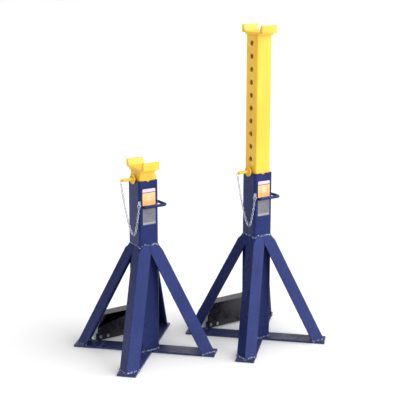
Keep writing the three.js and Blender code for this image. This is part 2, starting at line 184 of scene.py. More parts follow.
class Look:
    """One material's node tree, with short calls for the nodes that the finishes share."""

    def __init__(self, name):
        self.material = bpy.data.materials.new(name)
        self.material.use_nodes = True
        self.nodes = self.material.node_tree.nodes
        self.links = self.material.node_tree.links
        self.shader = self.nodes["Principled BSDF"]
        self.place = self.nodes.new("ShaderNodeTexCoord").outputs["Object"]

    def join(self, output, socket):
        self.links.new(output, socket)

    def noise(self, scale, detail=3.0, rough=0.55, stretch=None):
        node = self.nodes.new("ShaderNodeTexNoise")
        node.inputs["Scale"].default_value = scale
        node.inputs["Detail"].default_value = detail
        node.inputs["Roughness"].default_value = rough
        vector = self.place
        if stretch:
            mapping = self.nodes.new("ShaderNodeMapping")
            mapping.inputs["Scale"].default_value = stretch
            self.join(self.place, mapping.inputs["Vector"])
            vector = mapping.outputs["Vector"]
        self.join(vector, node.inputs["Vector"])
        return node.outputs["Fac"]

    def span(self, value, low, high, to_low=0.0, to_high=1.0, smooth=True):
        node = self.nodes.new("ShaderNodeMapRange")
        node.interpolation_type = "SMOOTHSTEP" if smooth else "LINEAR"
        self.join(value, node.inputs["Value"])
        for key, number in (("From Min", low), ("From Max", high), ("To Min", to_low), ("To Max", to_high)):
            node.inputs[key].default_value = number
        return node.outputs["Result"]

    def mix(self, share, first, second):
        node = self.nodes.new("ShaderNodeMix")
        node.data_type = "RGBA"
        for socket, value in ((node.inputs[0], share), (node.inputs[6], first), (node.inputs[7], second)):
            if isinstance(value, (int, float)):
                socket.default_value = value
            elif isinstance(value, tuple):
                socket.default_value = (*value, 1)
            else:
                self.join(value, socket)
        return node.outputs[2]

    def math(self, kind, first, second=0.0):
        node = self.nodes.new("ShaderNodeMath")
        node.operation = kind
        for socket, value in zip(node.inputs, (first, second)):
            if isinstance(value, (int, float)):
                socket.default_value = value
            else:
                self.join(value, socket)
        return node.outputs[0]

    def bump(self, height, distance, strength=1.0, base=None):
        node = self.nodes.new("ShaderNodeBump")
        node.inputs["Distance"].default_value = distance
        node.inputs["Strength"].default_value = strength
        self.join(height, node.inputs["Height"])
        if base:
            self.join(base, node.inputs["Normal"])
        return node.outputs["Normal"]

    def height(self):
        split = self.nodes.new("ShaderNodeSeparateXYZ")
        self.join(self.place, split.inputs[0])
        return split.outputs["Z"]

    def set(self, **values):
        for key, value in values.items():
            socket = self.shader.inputs[key.replace("_", " ")]
            if isinstance(value, (int, float)):
                socket.default_value = value
            elif isinstance(value, tuple):
                socket.default_value = (*value, 1)
            else:
                self.join(value, socket)
        return self.material


def enamel(name, color, shade, dust, gloss, chip_and_glint_share, chip_and_glint_color=(0.16, 0.15, 0.15), dusty=0.3, tint=(1, 1, 1),
           shine=0.5):
    """Paint with cloudy tone, orange peel, rubbed patches and a little dust low down. The chip share
    sets how much of the surface takes the chip colour, more on edges than on faces: bare metal where the
    paint has gone, and on the worn-edge and weld finishes also painted highlights and painted glints."""
    look = Look(name)
    tone = look.mix(look.span(look.noise(7.0, 4), 0.32, 0.68), color, shade)
    rubbed = look.span(look.noise(26.0, 6, 0.68, (1.0, 1.0, 0.35)), 0.58, 0.78)
    tone = look.mix(look.math("MULTIPLY", rubbed, 0.10), tone, dust)
    low_down = look.span(look.height(), 0.16, 0.0)
    powder = look.math("MULTIPLY", low_down, look.span(look.noise(60.0, 5, 0.6), 0.35, 0.75))
    tone = look.mix(look.math("MULTIPLY", powder, dusty), tone, dust)
    # Chip flecks: bare metal, and on the worn-edge and weld finishes painted highlights and glints.
    chip_and_glint_mask = look.span(look.noise(210.0, 5, 0.62), 0.86 - chip_and_glint_share, 0.90 - chip_and_glint_share)
    tone = look.mix(chip_and_glint_mask, tone, chip_and_glint_color)
    rough = look.math("ADD", look.span(look.noise(15.0, 5), 0.3, 0.7, gloss, gloss + 0.1),
                      look.math("MULTIPLY", powder, 0.25))
    peel = look.bump(look.noise(260.0, 2, 0.4), 0.00022, 0.55)
    waves = look.bump(look.noise(24.0, 2, 0.4), 0.0012, 0.16, peel)
    chipped = look.bump(look.math("SUBTRACT", 1.0, chip_and_glint_mask), 0.00025, 0.8, waves)
    return look.set(Base_Color=tone, Roughness=look.math("ADD", rough, look.math("MULTIPLY", chip_and_glint_mask, 0.2)),
                    Normal=chipped, Specular_IOR_Level=shine, Specular_Tint=tint)


def zinc_plate():
    look = Look("zinc_plate")
    tone = look.mix(look.span(look.noise(90.0, 5), 0.3, 0.7), (0.60, 0.61, 0.68), (0.40, 0.41, 0.49))
    stain = look.span(look.noise(38.0, 6, 0.7), 0.60, 0.74)
    tone = look.mix(look.math("MULTIPLY", stain, 0.5), tone, (0.28, 0.27, 0.25))
    rough = look.span(look.noise(140.0, 4), 0.3, 0.7, 0.22, 0.42)
    return look.set(Base_Color=tone, Roughness=rough, Metallic=0.85,
                    Normal=look.bump(look.noise(700.0, 3), 0.0001, 0.4))


def moulded_plastic():
    look = Look("moulded_plastic")
    tone = look.mix(look.span(look.noise(30.0, 4), 0.3, 0.7), (0.58, 0.66, 0.65), (0.47, 0.55, 0.54))
    grime = look.span(look.noise(75.0, 6, 0.7), 0.55, 0.78)
    tone = look.mix(look.math("MULTIPLY", grime, 0.4), tone, (0.24, 0.25, 0.24))
    rough = look.span(look.noise(50.0, 4), 0.3, 0.7, 0.42, 0.6)
    return look.set(Base_Color=tone, Roughness=rough,
                    Normal=look.bump(look.noise(900.0, 2), 0.00012, 0.5))


def band(look, value, low, high, soft=0.006):
    """1 where value is between low and high, 0 outside."""
    rise = look.span(value, low - soft, low + soft)
    fall = look.span(value, high - soft, high + soft, 1.0, 0.0)
    return look.math("MULTIPLY", rise, fall)


def label_axes(look):
    uv = look.nodes.new("ShaderNodeTexCoord").outputs["UV"]
    split = look.nodes.new("ShaderNodeSeparateXYZ")
    look.join(uv, split.inputs[0])
    return split.outputs["X"], split.outputs["Y"]


def print_lines(look, across, up, left, right, low, high, rows, ragged):
    """Rows of thin broken dashes, as a block of small print reads from afar."""
    phase = look.math("FRACT", look.math("MULTIPLY", up, float(rows)))
    line = band(look, phase, 0.3, 0.62, 0.08)
    dashes = look.nodes.new("ShaderNodeTexNoise")
    dashes.inputs["Scale"].default_value = 1.0
    dashes.inputs["Detail"].default_value = 0.0
    mapping = look.nodes.new("ShaderNodeCombineXYZ")
    look.join(look.math("MULTIPLY", across, 26.0), mapping.inputs[0])
    look.join(look.math("MULTIPLY", look.math("FLOOR", look.math("MULTIPLY", up, float(rows))), 3.7),
              mapping.inputs[1])
    look.join(mapping.outputs[0], dashes.inputs["Vector"])
    broken = look.span(dashes.outputs["Fac"], ragged, ragged + 0.08)
    inside = look.math("MULTIPLY", band(look, across, left, right), band(look, up, low, high))
    return look.math("MULTIPLY", look.math("MULTIPLY", line, broken), inside)


def orange_label():
    look = Look("orange_label_film")
    across, up = label_axes(look)
    warm = look.mix(look.span(up, 0.15, 0.75), (0.92, 0.40, 0.11), (0.88, 0.52, 0.27))
    cloud = look.math("MULTIPLY", look.span(look.noise(45.0, 3), 0.3, 0.7), 0.3)
    warm = look.mix(cloud, warm, (0.93, 0.55, 0.2))
    glow = look.math("MULTIPLY", band(look, across, 0.36, 0.64, 0.12), band(look, up, 0.30, 0.62, 0.1))
    tone = look.mix(look.math("MULTIPLY", glow, 0.55), warm, (0.90, 0.62, 0.45))
    rows = print_lines(look, across, up, 0.10, 0.90, 0.08, 0.28, 26, 0.38)
    tone = look.mix(look.math("MULTIPLY", rows, 0.45), tone, (0.42, 0.13, 0.05))
    rows = print_lines(look, across, up, 0.12, 0.40, 0.34, 0.70, 30, 0.40)
    tone = look.mix(look.math("MULTIPLY", rows, 0.30), tone, (0.55, 0.22, 0.10))
    tone = look.mix(band(look, up, 0.80, 1.1), tone, (0.66, 0.54, 0.64))
    tone = look.mix(band(look, up, 0.755, 0.805), tone, (0.20, 0.10, 0.12))
    rough = look.span(look.noise(120.0, 4), 0.3, 0.7, 0.25, 0.42)
    return look.set(Base_Color=tone, Roughness=rough, Normal=look.bump(look.noise(160.0, 3), 0.0001, 0.4))


def grey_label():
    look = Look("grey_label_film")
    across, up = label_axes(look)
    tone = look.mix(look.span(look.noise(40.0, 4), 0.3, 0.7), (0.135, 0.135, 0.165), (0.19, 0.19, 0.215))
    for low, high, rows in ((0.56, 0.93, 34), (0.20, 0.52, 30)):
        dashes = print_lines(look, across, up, 0.08, 0.92, low, high, rows, 0.36)
        tone = look.mix(look.math("MULTIPLY", dashes, 0.65), tone, (0.055, 0.06, 0.085))
    foot = band(look, up, 0.04, 0.14)
    tone = look.mix(look.math("MULTIPLY", foot, 0.55), tone, (0.42, 0.40, 0.44))
    rough = look.span(look.noise(120.0, 4), 0.3, 0.7, 0.3, 0.46)
    return look.set(Base_Color=tone, Roughness=rough, Normal=look.bump(look.noise(160.0, 3), 0.0001, 0.4))


NAVY = dict(color=(0.019, 0.029, 0.118), shade=(0.014, 0.022, 0.094), dust=(0.06, 0.075, 0.17), gloss=0.24,
            tint=(0.34, 0.42, 1.0), shine=0.24)
NAVY_BAR = {**NAVY, "tint": (0.86, 0.88, 1.0), "shine": 0.5, "dust": (0.12, 0.12, 0.14)}
YELLOW = dict(color=(0.92, 0.57, 0.035), shade=(0.89, 0.51, 0.028), dust=(0.93, 0.72, 0.22), gloss=0.30)
BLACK = dict(color=(0.013, 0.013, 0.020), shade=(0.010, 0.010, 0.015), dust=(0.04, 0.04, 0.05), gloss=0.16)


def make_finishes():
    return {
        "navy": enamel("navy_enamel", chip_and_glint_share=0.03, **NAVY),
        # Lighter blue flecks on rounded edges: partly worn paint, partly painted highlight along ridges.
        "navy_edge_wear_and_highlight": enamel("navy_enamel_worn_edge_and_painted_highlight", chip_and_glint_share=0.24, chip_and_glint_color=(0.10, 0.12, 0.26), **NAVY),
        # Lavender flecks on the weld beads are painted glints, not bare metal.
        "navy_weld_painted_glints": enamel("navy_enamel_on_weld_painted_glints", chip_and_glint_share=0.36, chip_and_glint_color=(0.42, 0.46, 0.66), **NAVY),
        "bar": enamel("navy_enamel_on_bars", chip_and_glint_share=0.04, **NAVY_BAR),
        "yellow": enamel("yellow_powder_coat", chip_and_glint_share=0.02, chip_and_glint_color=(0.35, 0.22, 0.04), **YELLOW),
        "yellow_edge": enamel("yellow_worn_edge", chip_and_glint_share=0.22, chip_and_glint_color=(0.60, 0.36, 0.06), **YELLOW),
        "black": enamel("black_powder_coat", chip_and_glint_share=0.02, **BLACK),
        "black_edge": enamel("black_worn_edge", chip_and_glint_share=0.22, chip_and_glint_color=(0.09, 0.09, 0.10), **BLACK),
        "zinc": zinc_plate(),
        "plastic": moulded_plastic(),
        "orange": orange_label(),
        "grey": grey_label(),
    }


# ---- mesh helpers -------------------------------------------------------------------------------------

def new_piece(name, mesh_data, finish, edge_finish=None):
    obj = bpy.data.objects.new(name, mesh_data)
    scene.collection.objects.link(obj)
    mesh_data.materials.clear()
    for key in (finish, edge_finish or finish):
        mesh_data.materials.append(FINISHES[key])
    return obj


def from_bmesh(name, shape):
    bmesh.ops.recalc_face_normals(shape, faces=shape.faces)
    mesh = bpy.data.meshes.new(name)
    shape.to_mesh(mesh)
    shape.free()
    return mesh


def apply_modifiers(obj):
    graph = bpy.context.evaluated_depsgraph_get()
    final = bpy.data.meshes.new_from_object(obj.evaluated_get(graph))
    obj.modifiers.clear()
    obj.data = final


def round_edges(obj, width, angle=28, segments=2):
    """Rounds every edge sharper than angle. The new faces take the piece's second material."""
    bevel = obj.modifiers.new("edges", "BEVEL")
    bevel.width = width
    bevel.segments = segments
    bevel.limit_method = "ANGLE"
    bevel.angle_limit = math.radians(angle)
    bevel.material = 1
    bevel.use_clamp_overlap = True
    obj.data.shade_smooth()
    normals = obj.modifiers.new("normals", "WEIGHTED_NORMAL")
    normals.keep_sharp = True
    apply_modifiers(obj)


def finish_piece(obj, body, slot, *nodes):
    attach(obj, body)
    if nodes:
        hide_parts(*nodes)


def cad_shape(node):
    """The CAD node's own shape, with its flat faces made whole."""
    shape = bmesh.new()
    shape.from_mesh(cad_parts[node].data)
    bmesh.ops.remove_doubles(shape, verts=shape.verts, dist=MERGE_DISTANCE)
    bmesh.ops.dissolve_limit(shape, angle_limit=math.radians(1), verts=shape.verts, edges=shape.edges)
    return shape


def cad_piece(node, finish, edge_finish, width, angle=28):
    """The CAD node's own shape with its edges rounded."""
    mesh = from_bmesh(node + "_fine", cad_shape(node))
    for name in [a.name for a in mesh.attributes if "normal" in a.name]:
        mesh.attributes.remove(mesh.attributes[name])
    obj = new_piece(node + "_fine", mesh, finish, edge_finish)
    round_edges(obj, width, angle)
    return obj


def rounded_square(side, radius, steps=8):
    half = side / 2 - radius
    points = []
    for corner, (cx, cy) in enumerate(((half, -half), (half, half), (-half, half), (-half, -half))):
        for i in range(steps + 1):
            angle = math.radians(-90 + 90 * corner + 90 * i / steps)
            points.append((cx + radius * math.cos(angle), cy + radius * math.sin(angle)))
    return points


def hollow_section(name, side, radius, wall, centre, bottom, top):
    """A square tube with rounded corners, open at both ends."""
    shape = bmesh.new()
    inner_side, inner_radius = side - 2 * wall, max(radius - wall, 0.001)
    rings = []
    for section, z in (((side, radius), bottom), ((side, radius), top),
                       ((inner_side, inner_radius), top), ((inner_side, inner_radius), bottom)):
        rings.append([shape.verts.new((centre.x + x, centre.y + y, z)) for x, y in rounded_square(*section)])
    for a, b in zip(rings, rings[1:] + rings[:1]):
        for i in range(len(a)):
            j = (i + 1) % len(a)
            shape.faces.new((a[i], a[j], b[j], b[i]))
    return from_bmesh(name, shape)


def add_cylinder(shape, middle, direction, radius, length, sides=40):
    turn = Vector((0, 0, 1)).rotation_difference(Vector(direction)).to_matrix().to_4x4()
    bmesh.ops.create_cone(shape, cap_ends=True, segments=sides, radius1=radius, radius2=radius,
                          depth=length, matrix=Matrix.Translation(middle) @ turn)


def cut(obj, cutter_shape):
    cutter = bpy.data.objects.new("cutter", from_bmesh("cutter", cutter_shape))
    scene.collection.objects.link(cutter)
    modifier = obj.modifiers.new("cut", "BOOLEAN")
    modifier.operation = "DIFFERENCE"
    modifier.solver = "EXACT"
    modifier.object = cutter
    apply_modifiers(obj)
    bpy.data.objects.remove(cutter)


def turned_part(name, profile, middle, axis, sides=48):
    """A lathed shape. Profile is (distance along the axis, radius), closed or ending on the axis."""
    turn = Vector((0, 0, 1)).rotation_difference(Vector(axis))
    closed = profile[0] == profile[-1]
    points = profile[:-1] if closed else profile
    shape = bmesh.new()
    rings = []
    for along, radius in points:
        if radius < 1e-7:
            rings.append([shape.verts.new(middle + turn @ Vector((0, 0, along)))])
            continue
        ring = []
        for i in range(sides):
            angle = 2 * math.pi * i / sides
            spot = Vector((radius * math.cos(angle), radius * math.sin(angle), along))
            ring.append(shape.verts.new(middle + turn @ spot))
        rings.append(ring)
    pairs = list(zip(rings, rings[1:])) + ([(rings[-1], rings[0])] if closed else [])
    for a, b in pairs:
        for i in range(sides):
            j = (i + 1) % sides
            corners = [a[i % len(a)], a[j % len(a)], b[j % len(b)], b[i % len(b)]]
            corners = [v for k, v in enumerate(corners) if v not in corners[:k]]
            if len(corners) > 2:
                shape.faces.new(corners)
    return from_bmesh(name, shape)


def sweep(shape, points, radii, sides=12, closed=False):
    """A round section carried along points without twisting, one radius for each point."""
    count = len(points)
    rings, side_way = [], None
    for i, point in enumerate(points):
        before = points[(i - 1) % count] if closed or i else points[0]
        after = points[(i + 1) % count] if closed or i < count - 1 else points[-1]
        ahead = (after - before).normalized()
        if side_way is None:
            side_way = ahead.orthogonal().normalized()
        side_way = (side_way - ahead * side_way.dot(ahead)).normalized()
        other = ahead.cross(side_way)
        ring = []
        for k in range(sides):
            angle = 2 * math.pi * k / sides
            ring.append(shape.verts.new(
                point + radii[i] * (side_way * math.cos(angle) + other * math.sin(angle))))
        rings.append(ring)
    ends = 0 if closed else 1
    for i in range(count - ends):
        a, b = rings[i], rings[(i + 1) % count]
        for k in range(sides):
            m = (k + 1) % sides
            shape.faces.new((a[k], a[m], b[m], b[k]))
    if not closed:
        shape.faces.new(rings[0])
        shape.faces.new(rings[-1])


def resample(points, step, closed=False):
    route = points + points[:1] if closed else points
    lengths = [(b - a).length for a, b in zip(route, route[1:])]
    total = sum(lengths)
    count = max(int(total / step), 2)
    spots, index, walked = [], 0, 0.0
    for i in range(count if closed else count + 1):
        target = total * i / count
        while index < len(lengths) - 1 and walked + lengths[index] < target:
            walked += lengths[index]
            index += 1
        share = (target - walked) / lengths[index] if lengths[index] else 0.0
        spots.append(route[index].lerp(route[index + 1], min(max(share, 0.0), 1.0)))
    return spots


# ---- weld beads ---------------------------------------------------------------------------------------

def add_bead(shape, points, size, closed=False):
    """A run of weld: overlapping scales of slightly uneven size that wander a little off the joint."""
    spots = resample(points, size * BEAD_STEP, closed)
    scale = size * random.uniform(0.85, 1.05)
    phase = random.uniform(0, 1)
    drift = [random.uniform(-1, 1) for _ in range(len(spots) // 14 + 3)]
    route, radii = [], []
    for i, spot in enumerate(spots):
        ripple = abs(math.sin(math.pi * (phase + i * BEAD_STEP / BEAD_RIPPLE)))
        k, share = divmod(i / 14, 1)
        wander = drift[int(k)] * (1 - share) + drift[int(k) + 1] * share
        edge = 1.0 if closed else min(1.0, (i + 1) / 5, (len(spots) - i) / 5)
        route.append(spot + Vector((wander, -wander, wander * 0.6)) * size * 0.10)
        radii.append(scale * (0.74 + 0.22 * ripple + 0.12 * wander) * (0.45 + 0.55 * edge))
    sweep(shape, route, radii, 10, closed)


# The default weld finish carries painted glints on the beads.
def weld_piece(name, runs, body, finish="navy_weld_painted_glints", slot="blue_paint"):
    shape = bmesh.new()
    for points, size, closed in runs:
        add_bead(shape, points, size, closed)
    obj = new_piece(name, from_bmesh(name, shape), finish)
    obj.data.shade_smooth()
    finish_piece(obj, body, slot)


def chained(pairs):
    """Edges given as pairs of points, put in order as polylines. Gives (points, closed) for each."""
    key = lambda p: tuple(round(c, 5) for c in p)
    links, places = {}, {}
    for a, b in pairs:
        for p, q in ((a, b), (b, a)):
            links.setdefault(key(p), []).append(key(q))
            places[key(p)] = p
    lines = []
    while links:
        ends = [k for k, near in links.items() if len(near) == 1]
        here = min(ends) if ends else min(links)
        closed = not ends
        line = [here]
        while links.get(here):
            there = links[here].pop()
            links[there].remove(here)
            line.append(there)
            here = there
        links = {k: near for k, near in links.items() if near}
        points = [places[k] for k in line]
        lines.append((points[:-1], True) if closed else (points, False))
    return lines


def seam(node, belongs):
    """Polylines of the CAD node's sharp edges for which belongs(start, end, face normals) holds."""
    shape = cad_shape(node)
    shape.normal_update()
    pairs = []
    for edge in shape.edges:
        a, b = (v.co.copy() for v in edge.verts)
        if belongs(a, b, [f.normal for f in edge.link_faces]):
            pairs.append((a, b))
    shape.free()
    return chained(pairs)


def foot_outline(node):
    """The outline where a piece stands on the bar under it."""
    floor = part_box(node)[0].z
    return seam(node, lambda a, b, normals: max(a.z, b.z) < floor + 0.0005
                and any(n.z < -0.9 for n in normals) and any(abs(n.z) < 0.85 for n in normals))


def leg_top_seam(node, centre, side):
    """The leg's sloping top edge where it lies against the tube."""
    reach = side / 2 + 0.002

    def belongs(a, b, normals):
        near = all(max(abs(p.x - centre.x), abs(p.y - centre.y)) < reach for p in (a, b))
        return near and any(n.z > 0.3 for n in normals) and min(a.z, b.z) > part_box(node)[1].z - 0.09

    return seam(node, belongs)


def make_welds(stand, centre):
    body = stand + "_frame"
    tube_low, tube_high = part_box(stand + "_guide_tube")
    side = tube_high.x - tube_low.x
    runs = []
    for where in ("front", "right", "back", "left"):
        node = f"{stand}_leg_{where}"
        runs += [(p, WELD_LEG, c) for p, c in leg_top_seam(node, centre, side)]
        runs += [(p, WELD_FOOT, c) for p, c in foot_outline(node)]
    weld_piece(stand + "_leg_welds", runs, body)

    foot = [Vector((centre.x + x, centre.y + y, tube_low.z))
            for x, y in rounded_square(side, TUBE_RADIUS, 4)]
    runs = [(foot, WELD_FOOT, True)]
    for where, degrees in (("front", 225), ("back", 45)):
        node = f"{stand}_base_bar_{where}"
        along = Vector((math.cos(math.radians(degrees)), math.sin(math.radians(degrees)), 0))
        across = Vector((-along.y, along.x, 0))
        spots = [v.co - Vector((centre.x, centre.y, 0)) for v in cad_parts[node].data.vertices]
        start = min(s.dot(along) for s in spots)
        half = max(abs(s.dot(across)) for s in spots)
        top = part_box(node)[1].z - 0.0009
        inner = Vector((centre.x, centre.y, top)) + along * start
        ends = [inner + across * half * s * 0.97 for s in (-1, 1)]
        runs.append((ends, WELD_LEG, False))
    for where in ("left", "right"):
        runs += [(p, WELD_SMALL, c) for p, c in foot_outline(f"{stand}_lug_{where}")]
    weld_piece(stand + "_foot_welds", runs, body)


# ---- the stand's pieces -------------------------------------------------------------------------------

def make_base_and_legs(stand):
    for name in ("base_bar_long", "base_bar_front", "base_bar_back"):
        node = f"{stand}_{name}"
        finish_piece(cad_piece(node, "bar", "navy_edge_wear_and_highlight", 0.0009), stand + "_frame", "blue_paint", node)
    for where in ("front", "right", "back", "left"):
        node = f"{stand}_leg_{where}"
        finish_piece(cad_piece(node, "navy", "navy_edge_wear_and_highlight", 0.0012, 20), stand + "_frame", "blue_paint", node)
    for where in ("left", "right"):
        node = f"{stand}_lug_{where}"
        finish_piece(cad_piece(node, "navy", "navy_edge_wear_and_highlight", 0.0006), stand + "_frame", "blue_paint", node)


def make_tube(stand, centre):
    node = stand + "_guide_tube"
    low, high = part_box(node)
    side = high.x - low.x
    name = node + "_fine"
    tube = new_piece(name, hollow_section(name, side, TUBE_RADIUS, TUBE_WALL, centre, low.z, high.z),
                     "navy", "navy_edge_wear_and_highlight")
    notches = bmesh.new()
    level = high.z + NOTCH_RISE
    for axis in (Vector((1, 0, 0)), Vector((0, 1, 0))):
        for way in (-1, 1):
            middle = Vector((centre.x, centre.y, level)) + axis * way * (side / 2 - TUBE_WALL / 2)
            add_cylinder(notches, middle, axis, NOTCH_RADIUS, NOTCH_CUT)
    cut(tube, notches)
    round_edges(tube, 0.0007)
    finish_piece(tube, stand + "_frame", "blue_paint", node)


def make_column(stand, centre):
    node = stand + "_lift_column"
    low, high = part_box(node)
    side = high.x - low.x
    name = node + "_fine"
    section = hollow_section(name, side, COLUMN_RADIUS, COLUMN_WALL, centre, low.z, high.z)
    column = new_piece(name, section, "yellow", "yellow_edge")
    holes = bmesh.new()
    for i in range(HOLE_COUNT):
        height = high.z - TOP_HOLE_DEPTH - i * HOLE_PITCH
        add_cylinder(holes, Vector((centre.x, centre.y, height)), (1, 0, 0), HOLE_RADIUS, side + 0.01)
    cut(column, holes)
    round_edges(column, 0.0007)
    finish_piece(column, stand + "_column", "yellow_paint", node)


def make_saddle(stand, centre):
    node = stand + "_saddle"
    saddle = cad_piece(node, "yellow", "yellow_edge", 0.0014)
    finish_piece(saddle, stand + "_column", "yellow_paint", node)
    low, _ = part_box(node)
    column_low, column_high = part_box(stand + "_lift_column")
    runs = []
    for way in (-1, 1):
        y = centre.y + way * ((column_high.y - column_low.y) / 2 + 0.0006)
        half = (column_high.x - column_low.x) / 2 - 0.006
        ends = [Vector((centre.x + s * half, y, low.z + 0.0004)) for s in (-1, 1)]
        runs.append((ends, WELD_SADDLE, False))
    weld_piece(stand + "_saddle_welds", runs, stand + "_column", "yellow", "yellow_paint")


def make_pin(stand, centre):
    node = stand + "_support_pin"
    low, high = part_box(node)
    collar_low, collar_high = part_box(stand + "_pin_collar")
    axis = Vector((centre.x, centre.y, (collar_low.z + collar_high.z) / 2))
    end, tip = high.x - centre.x, low.x - centre.x
    shoulder = collar_low.x - centre.x
    name = node + "_fine"
    profile = [(tip + 0.008, 0), (tip + 0.008, GRIP_RADIUS - 0.001), (tip + 0.009, GRIP_RADIUS)]
    ridges = 5
    for i in range(ridges):
        start = tip + 0.012 + i * 0.0052
        profile += [(start, GRIP_RADIUS), (start + 0.0008, GRIP_RADIUS - 0.0005),
                    (start + 0.0022, GRIP_RADIUS - 0.0005), (start + 0.003, GRIP_RADIUS)]
    profile += [(shoulder - 0.004, GRIP_RADIUS), (shoulder - 0.001, GRIP_RADIUS + 0.001),
                (shoulder, GRIP_RADIUS + 0.0025), (shoulder + 0.0002, PIN_RADIUS),
                (end - 0.003, PIN_RADIUS), (end, PIN_RADIUS - 0.003), (end, 0)]
    pin = new_piece(name, turned_part(name, profile, axis, (1, 0, 0)), "yellow", "yellow_edge")
    round_edges(pin, 0.0003, 40)
    finish_piece(pin, stand + "_pin", "yellow_paint", node)

    tab = bmesh.new()
    eye_x, eye_z, eye_radius, outer, thick = tip + 0.004, -0.001, 0.0024, 0.0044, 0.0019
    count = 32
    ring = lambda radius, y: [tab.verts.new(axis + Vector((
        eye_x + radius * math.cos(2 * math.pi * i / count), y,
        eye_z + radius * math.sin(2 * math.pi * i / count)))) for i in range(count)]
    rings = [ring(outer, -thick), ring(outer, thick), ring(eye_radius, thick), ring(eye_radius, -thick)]
    for a, b in zip(rings, rings[1:] + rings[:1]):
        for i in range(count):
            j = (i + 1) % count
            tab.faces.new((a[i], a[j], b[j], b[i]))
    neck = bmesh.ops.create_cube(tab, size=1.0)["verts"]
    for v in neck:
        v.co = axis + Vector((tip + 0.0105 + v.co.x * 0.007, v.co.y * thick * 2, eye_z + v.co.z * 0.0075))
    name = stand + "_pin_eye"
    eye = new_piece(name, from_bmesh(name, tab), "yellow", "yellow_edge")
    round_edges(eye, 0.0004, 40)
    finish_piece(eye, stand + "_pin", "yellow_paint")

    node = stand + "_pin_collar"
    radius = (collar_high.z - collar_low.z) / 2
    half = (collar_high.x - collar_low.x) / 2
    middle = Vector(((collar_low.x + collar_high.x) / 2, axis.y, axis.z))
    bore = PIN_RADIUS + BORE_GAP
    rim, boss, recess = radius - 0.0035, PIN_RADIUS + 0.0022, 0.0022
    profile = [(-half, bore), (-half, boss), (recess - half, boss + 0.0008), (recess - half, rim - 0.0008),
               (-half, rim), (-half, radius - 0.0015), (-half + 0.0015, radius), (half - 0.0015, radius),
               (half, radius - 0.0015), (half, bore), (-half, bore)]
    name = node + "_fine"
    collar = new_piece(name, turned_part(name, profile, middle, (1, 0, 0)), "yellow", "yellow_edge")
    round_edges(collar, 0.0004, 40)
    finish_piece(collar, stand + "_pin", "yellow_paint", node)


def make_handle(stand, centre):
    node = stand + "_carry_handle"
    low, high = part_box(node)
    level = (low.z + high.z) / 2
    side = (high.y - low.y) / 2 - HANDLE_RADIUS
    reach = high.x - HANDLE_RADIUS
    points = []
    for way in (-1, 1):
        arc = []
        for i in range(11):
            angle = math.radians(90 * i / 10)
            arc.append(Vector((reach - HANDLE_BEND + HANDLE_BEND * math.sin(angle),
                               centre.y + way * (side - HANDLE_BEND + HANDLE_BEND * math.cos(angle)), level)))
        straight = Vector((low.x, centre.y + way * side, level))
        points += [straight] + arc if way < 0 else arc[::-1] + [straight]
    spots = resample(points, 0.002)
    radii = [HANDLE_RADIUS] * len(spots)
    radii[0] = radii[-1] = HANDLE_RADIUS - 0.001
    shape = bmesh.new()
    sweep(shape, spots, radii, 20)
    name = node + "_fine"
    handle = new_piece(name, from_bmesh(name, shape), "navy", "navy_edge_wear_and_highlight")
    round_edges(handle, 0.0003, 40)
    finish_piece(handle, stand + "_frame", "blue_paint", node)
    runs = []
    for way in (-1, 1):
        y = centre.y + way * (side - 0.0035)
        for z in (level - HANDLE_RADIUS + 0.0005, level + HANDLE_RADIUS - 0.0005):
            for span in HANDLE_WELDS:
                runs.append(([Vector((centre.x + x, y, z)) for x in span], WELD_SMALL, False))
    weld_piece(stand + "_handle_welds", runs, stand + "_frame")


def make_label(stand, which, finish, slot):
    """A thin film with a slightly uneven face and its own UV map for the print."""
    node = f"{stand}_{which}_label"
    low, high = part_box(node)
    columns, rows = 14, 16
    shape = bmesh.new()
    layer = shape.loops.layers.uv.new("UVMap")
    radius = 0.003

    def place(u, v, y):
        x = low.x + u * (high.x - low.x)
        z = low.z + v * (high.z - low.z)
        cx = min(max(x, low.x + radius), high.x - radius)
        cz = min(max(z, low.z + radius), high.z - radius)
        out = Vector((x - cx, 0, z - cz))
        if out.x and out.z:
            out = out.normalized() * min(out.length, radius)
        return Vector((cx + out.x, y, cz + out.z))

    def steps(count, inset):
        inner = [inset + (1 - 2 * inset) * i / (count - 2) for i in range(count - 1)]
        return [0.0] + inner + [1.0]

    us = steps(columns, radius / (high.x - low.x) / 2)
    vs = steps(rows, radius / (high.z - low.z) / 2)
    face_of = {}
    for y_index, y in enumerate((low.y, high.y)):
        for i, u in enumerate(us):
            for j, v in enumerate(vs):
                lift = 0.00008 * math.sin(u * 9.0) * math.sin(v * 7.0) if y_index == 0 else 0.0
                face_of[y_index, i, j] = (shape.verts.new(place(u, v, y + abs(lift))), u, v)
    for y_index in (0, 1):
        for i in range(len(us) - 1):
            for j in range(len(vs) - 1):
                keys = [(i, j), (i + 1, j), (i + 1, j + 1), (i, j + 1)]
                shape.faces.new([face_of[y_index, a, b][0] for a, b in keys])
    rim = ([(i, 0) for i in range(len(us) - 1)] + [(len(us) - 1, j) for j in range(len(vs) - 1)]
           + [(i, len(vs) - 1) for i in range(len(us) - 1, 0, -1)]
           + [(0, j) for j in range(len(vs) - 1, 0, -1)])
    for a, b in zip(rim, rim[1:] + rim[:1]):
        shape.faces.new([face_of[0, *a][0], face_of[0, *b][0], face_of[1, *b][0], face_of[1, *a][0]])
    for face in shape.faces:
        for loop in face.loops:
            point = loop.vert.co
            loop[layer].uv = ((point.x - low.x) / (high.x - low.x), (point.z - low.z) / (high.z - low.z))
    name = node + "_film"
    film = new_piece(name, from_bmesh(name, shape), finish)
    finish_piece(film, stand + "_frame", slot, node)


